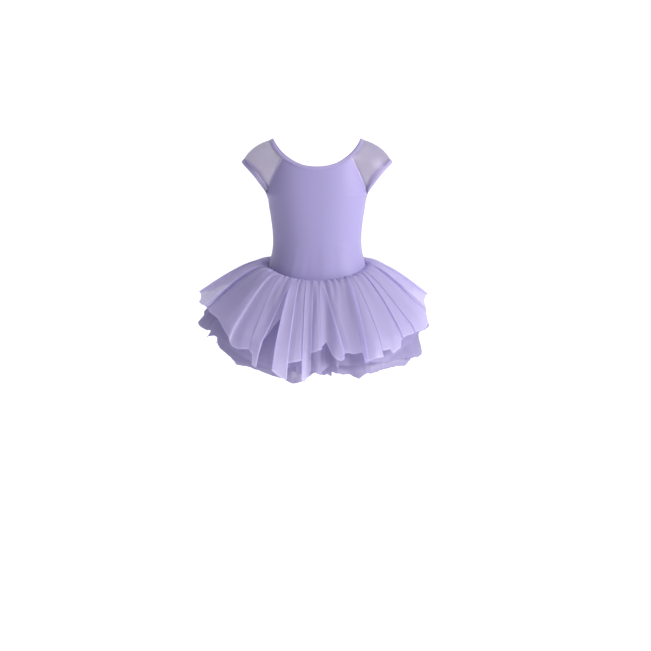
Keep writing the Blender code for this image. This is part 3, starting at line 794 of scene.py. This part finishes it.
def add_binding(name, node_name, point, normal, width, count, flip):
    """A strip folded over the raw edge of an opening, with its row of stitches."""
    angles = np.linspace(0.0, 2 * math.pi, count, endpoint=False)
    places, outs, aways = loop_frames(point, normal, angles)
    section = binding_section(width)
    middles = places - outs * WALL / 2
    pucker = 1.0 + 0.05 * np.sin(angles * 61.0) + 0.04 * np.sin(angles * 97.0 + 1.0)
    grid = np.stack([middles + aways * w + outs * (h * pucker)[:, None] for w, h in section])
    if flip:
        grid = mirrored(grid)
    length = np.linalg.norm(places - np.roll(places, 1, axis=0), axis=-1).cumsum()
    around = np.linspace(0.0, 2 * width, len(section))
    uv = np.stack(np.broadcast_arrays(length[None, :], around[:, None]), axis=-1).reshape(-1, 2)
    quads = grid_faces(*grid.shape[:2], True)
    strip = add_mesh(name, grid.reshape(-1, 3), quads, bound, uv)
    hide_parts(node_name)
    total = length[-1]
    stitches = add_stitches(f"{name}_stitches", point, normal, width, total, flip)


def add_stitches(name, point, normal, width, total, flip):
    """A row of stitches along a binding's inner edge, each a short raised thread."""
    count = int(total / STITCH_PITCH)
    fine = np.linspace(0.0, 2 * math.pi, 4001)
    steps = np.linalg.norm(np.diff(point(fine), axis=0), axis=-1)
    length = np.concatenate([[0.0], steps.cumsum()])
    starts = np.arange(count) * length[-1] / count
    share = np.linspace(0.0, 1.0, STITCH_STEPS)
    turn = np.linspace(0.0, 2 * math.pi, STITCH_SIDES, endpoint=False)
    to_end = (2 * share - 1) ** 4
    lift = BINDING_THICKNESS / 2 * STRIP_EDGE_SHARE - WALL / 2 - STITCH_SINK - STITCH_END_SINK * to_end
    radius = THREAD_RADIUS * np.sqrt(np.maximum(1.0 - to_end, 0.04))
    points, quads = [], []
    for number, start in enumerate(starts):
        angles = np.interp(start + share * STITCH_LENGTH, length, fine)
        places, outs, aways = loop_frames(point, normal, angles)
        line = places + aways * (width / 2 - STITCH_INSET) + outs * lift[:, None]
        ring = np.cos(turn)[None, :, None] * aways[:, None] + np.sin(turn)[None, :, None] * outs[:, None]
        points.append((line[:, None] + ring * radius[:, None, None]).reshape(-1, 3))
        quads.append(grid_faces(len(share), len(turn), True, number * share.size * turn.size))
    points = np.concatenate(points)
    if flip:
        points = mirrored(points)
    uv = points[:, :2]
    stitches = add_mesh(name, points, np.concatenate(quads), thread, uv)
    return stitches


def make_bindings():
    """The bindings of the neck and the two armholes."""
    add_binding("neck_strip", "neck_binding", neck_point, neck_normal, NECK_STRIP_WIDTH, 480, False)
    for side, flip in (("left", False), ("right", True)):
        name, node_name = f"arm_strip_{side}", f"arm_binding_{side}"
        add_binding(name, node_name, arm_point, arm_normal, ARM_STRIP_WIDTH, 300, flip)


# Tulle


def waist_seam(azimuth):
    """(points of the bodice's lower edge, horizontal outward directions). Azimuth 0 is the front."""
    front = np.cos(azimuth) >= 0
    heights = dict(zip(ROW_COLUMNS, ROW_HEIGHTS[-1]))
    middle_z = np.where(front, heights["front_z"], heights["back_z"])
    level = middle_z + (heights["side_z"] - middle_z) * np.sin(azimuth) ** 2
    place = torso_point(np.arcsin(np.sin(azimuth)), level, front)
    width = torso_size("half_width", level)
    depth = np.where(front, torso_size("front_depth", level), torso_size("back_depth", level))
    x, y = place[..., 0], place[..., 1]
    across = np.sign(x) * np.abs(x / width) ** (ROUNDNESS - 1.0) / width
    ahead = np.sign(y) * np.abs(y / depth) ** (ROUNDNESS - 1.0) / depth
    return place, unit(np.stack([across, ahead, np.zeros_like(across)], axis=-1))


def layer_value(layer, name, azimuth):
    """A size of a tulle layer, blended between its front, side and back."""
    ends = np.where(np.cos(azimuth) >= 0, layer["front_" + name], layer["back_" + name])
    share = np.sin(azimuth) ** 2
    return layer["side_" + name] * share + ends * (1.0 - share)


def gather_phase(azimuth):
    """The gathers' phase round the waist, unevenly spaced."""
    drift = 1.1 * np.sin(2 * azimuth + 0.6) + 0.8 * np.sin(3 * azimuth + 2.1)
    return GATHER_WAVES * azimuth + drift + 0.5 * np.sin(7 * azimuth)


def gather_strength(azimuth):
    """How deep the gathers are round the waist, about 1."""
    return 1.0 + 0.28 * np.sin(3 * azimuth + 1.0) + 0.18 * np.sin(5 * azimuth + 4.0)


def large_fold(azimuth):
    """The height of the large folds at the hem."""
    height = np.zeros_like(azimuth)
    for middle, half_width, fold_height in LARGE_FOLDS:
        turn = (np.degrees(azimuth) - middle + 180.0) % 360.0 - 180.0
        inside = np.abs(turn) < half_width
        height += inside * fold_height * np.cos(turn / half_width * math.pi / 2) ** 2
    return height


def uneven(azimuth, counts, random):
    """A sum of slow waves round the waist, about -1 to 1."""
    phases = random.uniform(0.0, 2 * math.pi, len(counts))
    total = sum(np.sin(count * azimuth + phase) for count, phase in zip(counts, phases))
    return total / math.sqrt(len(counts))


def puckers(azimuth, share, random):
    """The height of the small gathers below the seam."""
    height = np.zeros(np.broadcast(azimuth, share).shape)
    for waves, full, peak, faded, left in PUCKERS:
        rise = smooth(share / peak)
        fall = left + (1.0 - left) * (1.0 - smooth((share - peak) / (faded - peak)))
        phase = waves * azimuth + 2.2 * uneven(azimuth, (3, 5, 8, 13), random)
        phase = phase + 0.8 * share * uneven(azimuth, (4, 7, 11), random)
        strength = 0.75 + 0.50 * uneven(azimuth, (5, 9, 14), random)
        height = height + full * rise * fall * strength * np.sin(phase)
    return height


def layer_folds(number, random):
    """The lapped folds of a layer: listed in a table on the top layer's front, scattered elsewhere."""
    folds = list(TOP_FOLDS) if number == 0 else []
    azimuth = 90.0 if number == 0 else -180.0
    end = 270.0 if number == 0 else 172.0
    while azimuth < end:
        spacing = random.uniform(*FOLD_SPACING)
        height = random.uniform(*FOLD_HEIGHT)
        slant = random.uniform(-FOLD_SLANT, FOLD_SLANT)
        folds.append((azimuth, slant, spacing * 0.42, height, random.choice([-1.0, 1.0])))
        azimuth += spacing
    return folds


def lapped(azimuth, share, folds):
    """(heights, sideways moves, strength of the edge lines) of lapped folds at their fullest."""
    height = np.zeros(np.broadcast(azimuth, share).shape)
    move, line = np.zeros_like(height), np.zeros_like(height)
    for middle, slant, half_width, full, over in folds:
        off = np.degrees(azimuth) - middle + slant * (1.0 - np.minimum(share, 1.0))
        turn = ((off + 180.0) % 360.0 - 180.0) / half_width
        inside = np.clip(1.0 - np.abs(turn), 0.0, 1.0)
        fold = -over * full * np.tanh(turn / FOLD_EDGE) * inside**1.3
        height += fold
        move += over * FOLD_LAP * fold
        from_edge = (np.abs(turn) - 1.4 * FOLD_EDGE) * half_width / LINE_HALF_WIDTH
        line = np.maximum(line, np.exp(-(from_edge**2)) * min(full / 0.004, 1.0))
    return height, move, line


def hem_length(number, azimuth, random):
    """Where the cut hem lies, as a share of the layer's length."""
    degrees = np.degrees(azimuth)
    around = 1.0 + 0.012 * uneven(azimuth, (7, 12, 19, 31), random)
    around += 0.003 * uneven(azimuth, (43, 67, 89), random)
    table = np.array([row[1:] for row in HEMS if row[0] == number])
    cut = np.interp(degrees, table[:, 0], table[:, 1])
    inside = smooth((98.0 - np.abs(degrees)) / 12.0)
    around = 1.0 + (around - 1.0) * (1.0 - 0.6 * inside) + (cut - 1.0) * inside
    for layer, middle, half_width, extra in STRIPS:
        if layer == number:
            turn = (degrees - middle + 180.0) % 360.0 - 180.0
            slant = 1.0 + 0.35 * turn / half_width
            around = around + (np.abs(turn) < half_width) * extra * slant
    return around


def tulle_grid(number):
    """The points of a tulle layer's sheet: rows from seam to hem, columns round the waist."""
    random = np.random.default_rng(40 + number)
    layer = dict(zip(LAYER_COLUMNS, LAYERS[number]))
    azimuth = np.linspace(-math.pi, math.pi, TULLE_COLUMNS, endpoint=False)[None, :]
    rows = np.linspace(0.0, 1.0, TULLE_ROWS[number] + 1)[:, None] ** 1.25
    cut = hem_length(number, azimuth, random)
    share = rows * cut

    grown = np.minimum(share, 1.2) ** GATHER_GROWTH
    start = GATHER_HEIGHT_AT_SEAM * smooth(share / GATHER_START)
    height = start + (GATHER_HEIGHT_AT_HEM[number] - GATHER_HEIGHT_AT_SEAM) * grown
    phase = gather_phase(azimuth) + GATHER_DRIFT * number * share
    kept = WAVES_KEPT if number == 0 else LOWER_WAVES_KEPT
    shift = height * gather_strength(azimuth) * np.sin(phase) * kept
    shift = shift + puckers(azimuth, share, np.random.default_rng(7))
    large = large_fold(azimuth) * smooth(share) * (1.0 - 0.22 * number) * LARGE_KEPT
    crinkle = 0.0005 * uneven(azimuth, (23, 37, 58), random) * np.sin(share * 9.0 + 5.0 * azimuth)

    fold_height, fold_move, line = lapped(azimuth, share, layer_folds(number, random))
    opened = smooth((share - 0.02) / 0.45) * (0.55 + 0.45 * np.minimum(share, 1.0))
    opened = opened * (1.0 if number == 0 else LOWER_FOLDS)
    shift = shift + fold_height * opened
    radius = 0.09 + 0.11 * np.minimum(share, 1.0)
    leaned = azimuth + fold_move * opened / radius

    place, outward = waist_seam(leaned)
    bumpy = 1.0 + HEM_UNEVENNESS * np.sin(9 * leaned + 1.7 * number + 1.3 * np.sin(4 * leaned))
    out = layer_value(layer, "out", leaned) * bumpy * (1.0 - SIDE_LEAN * np.sin(leaned))
    down = layer_value(layer, "down", leaned) * bumpy
    lift = layer_value(layer, "lift", leaned)
    run_controls = (0.0 * out, LIFT_AT * out, BELLY_AT[0] * out, out)
    rise_controls = (0.0 * out, lift, -BELLY_AT[1] * down, -down)
    inside = np.minimum(share, 1.0)
    beyond = np.maximum(share - 1.0, 0.0)
    left = 1.0 - inside
    weights = (left**3, 3 * left**2 * inside, 3 * left * inside**2, inside**3)
    slopes = (
        -3 * left**2,
        3 * (left**2 - 2 * left * inside),
        3 * (2 * left * inside - inside**2),
        3 * inside**2,
    )
    run_slope = sum(w * c for w, c in zip(slopes, run_controls))
    rise_slope = sum(w * c for w, c in zip(slopes, rise_controls))
    run = sum(w * c for w, c in zip(weights, run_controls)) + beyond * run_slope * 0.6
    rise = sum(w * c for w, c in zip(weights, rise_controls)) + beyond * rise_slope
    length = np.hypot(run_slope, rise_slope)
    moved = shift + large + crinkle * smooth(share / 0.2)
    run = run - rise_slope / length * moved
    rise = rise + run_slope / length * moved

    base = place - outward * LAYER_STEP * number
    below = WAIST_SEAM_GAP + LAYER_DROP * number
    up = np.stack([np.zeros_like(run), np.zeros_like(run), rise - below], axis=-1)
    return base + outward * run[..., None] + up, share, cut, line * opened


def make_tulle():
    """The four gathered layers of the skirt."""
    for number in range(len(LAYERS)):
        grid, share, cut, line = tulle_grid(number)
        rows, columns = grid.shape[:2]
        depth = np.linalg.norm(np.diff(grid, axis=0), axis=-1).sum(axis=0).mean()
        from_hem = (cut - share) * depth
        edge = HEM_DENSITY * np.exp(-((from_hem / HEM_REACH) ** 2))
        edge = edge + SEAM_DENSITY * np.exp(-((share / SEAM_REACH) ** 2))
        turn = np.abs(np.linspace(-180.0, 180.0, columns, endpoint=False))[None, :]
        edge = edge + SIDE_FULLNESS * smooth((turn - SIDE_FULL_FROM) / SIDE_FULL_OVER)
        edge = np.maximum(edge, LAP_DENSITY * line)
        around = np.linspace(0.0, TULLE_FLAT_LENGTH, columns)[None, :]
        uv = np.stack(np.broadcast_arrays(around, share * depth), axis=-1).reshape(-1, 2)
        quads = grid_faces(rows, columns, True)
        name = f"tulle_sheet_{number + 1}"
        # The top layer takes the plain tulle, and the layers under it take the tulle with painted shade.
        cloth = top_tulle if number == 0 else shaded_lower_tulle
        sheet = add_mesh(name, grid.reshape(-1, 3), quads, cloth, uv, {"edge": edge})
        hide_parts(f"tulle_layer_{number + 1}")


# Camera, floor and light


def aim(thing, target):
    """Turns a light or camera towards a point."""
    direction = Vector(target) - thing.location
    thing.rotation_euler = direction.to_track_quat("-Z", "Y").to_euler()


def add_lamp(name, place, target, size, power, colour):
    """A soft square studio light."""
    lamp = bpy.data.lights.new(name, "AREA")
    lamp.size = size
    lamp.energy = power
    lamp.color = colour
    holder = bpy.data.objects.new(name, lamp)
    holder.location = place
    aim(holder, target)
    bpy.context.scene.collection.objects.link(holder)


def make_stage():
    """A pale floor that curves up behind, with the camera and the studio lights."""
    sweep = [(-4.5, 0.0), (2.2, 0.0)]
    sweep += [(2.2 + 1.6 * math.sin(a), 1.6 - 1.6 * math.cos(a)) for a in np.linspace(0.1, 1.57, 14)]
    sweep += [(3.8, 6.0)]
    points = np.array([[x, y, FLOOR_Z + z] for y, z in sweep for x in (-9.0, 9.0)])
    quads = grid_faces(len(sweep), 2, False)
    material, tree, surface = new_material("paper")
    paper = node(tree, "ShaderNodeBsdfDiffuse", {"Color": (0.93, 0.93, 0.94, 1.0)})
    glow = node(tree, "ShaderNodeEmission", {"Color": (1.0, 1.0, 1.0, 1.0), "Strength": 0.55})
    both = {0: paper.outputs["BSDF"], 1: glow.outputs["Emission"]}
    both = node(tree, "ShaderNodeAddShader", both)
    tree.links.new(both.outputs["Shader"], surface)
    mesh = bpy.data.meshes.new("backdrop")
    mesh.from_pydata(points.tolist(), [], quads.tolist())
    mesh.shade_smooth()
    mesh.materials.append(material)
    backdrop = bpy.data.objects.new("backdrop", mesh)
    bpy.context.scene.collection.objects.link(backdrop)

    scene = bpy.context.scene
    camera = bpy.data.objects.new("camera", bpy.data.cameras.new("camera"))
    camera.location = CAMERA_PLACE
    ahead = Vector((0.0, math.cos(CAMERA_TILT), -math.sin(CAMERA_TILT)))
    aim(camera, camera.location + ahead)
    camera.data.lens = CAMERA_LENS
    camera.data.sensor_width = 36.0
    scene.collection.objects.link(camera)
    scene.camera = camera

    middle = (0.0, 0.0, -0.22)
    add_lamp("key", (2.4, -1.5, 0.7), middle, 1.1, 74.0, (1.0, 0.99, 0.98))
    add_lamp("fill", (-1.6, -2.4, 0.3), middle, 1.8, 1.5, (0.97, 0.98, 1.0))
    add_lamp("top", (0.2, -0.4, 2.2), middle, 1.6, 24.0, (1.0, 1.0, 1.0))
    world = bpy.data.worlds.new("studio")
    world.use_nodes = True
    background = world.node_tree.nodes["Background"]
    background.inputs["Color"].default_value = (1.0, 1.0, 1.0, 1.0)
    background.inputs["Strength"].default_value = 0.16
    scene.world = world
    scene.view_settings.view_transform = "Standard"
    scene.cycles.transparent_max_bounces = 40


make_bodice()
make_bindings()
make_tulle()
make_stage()
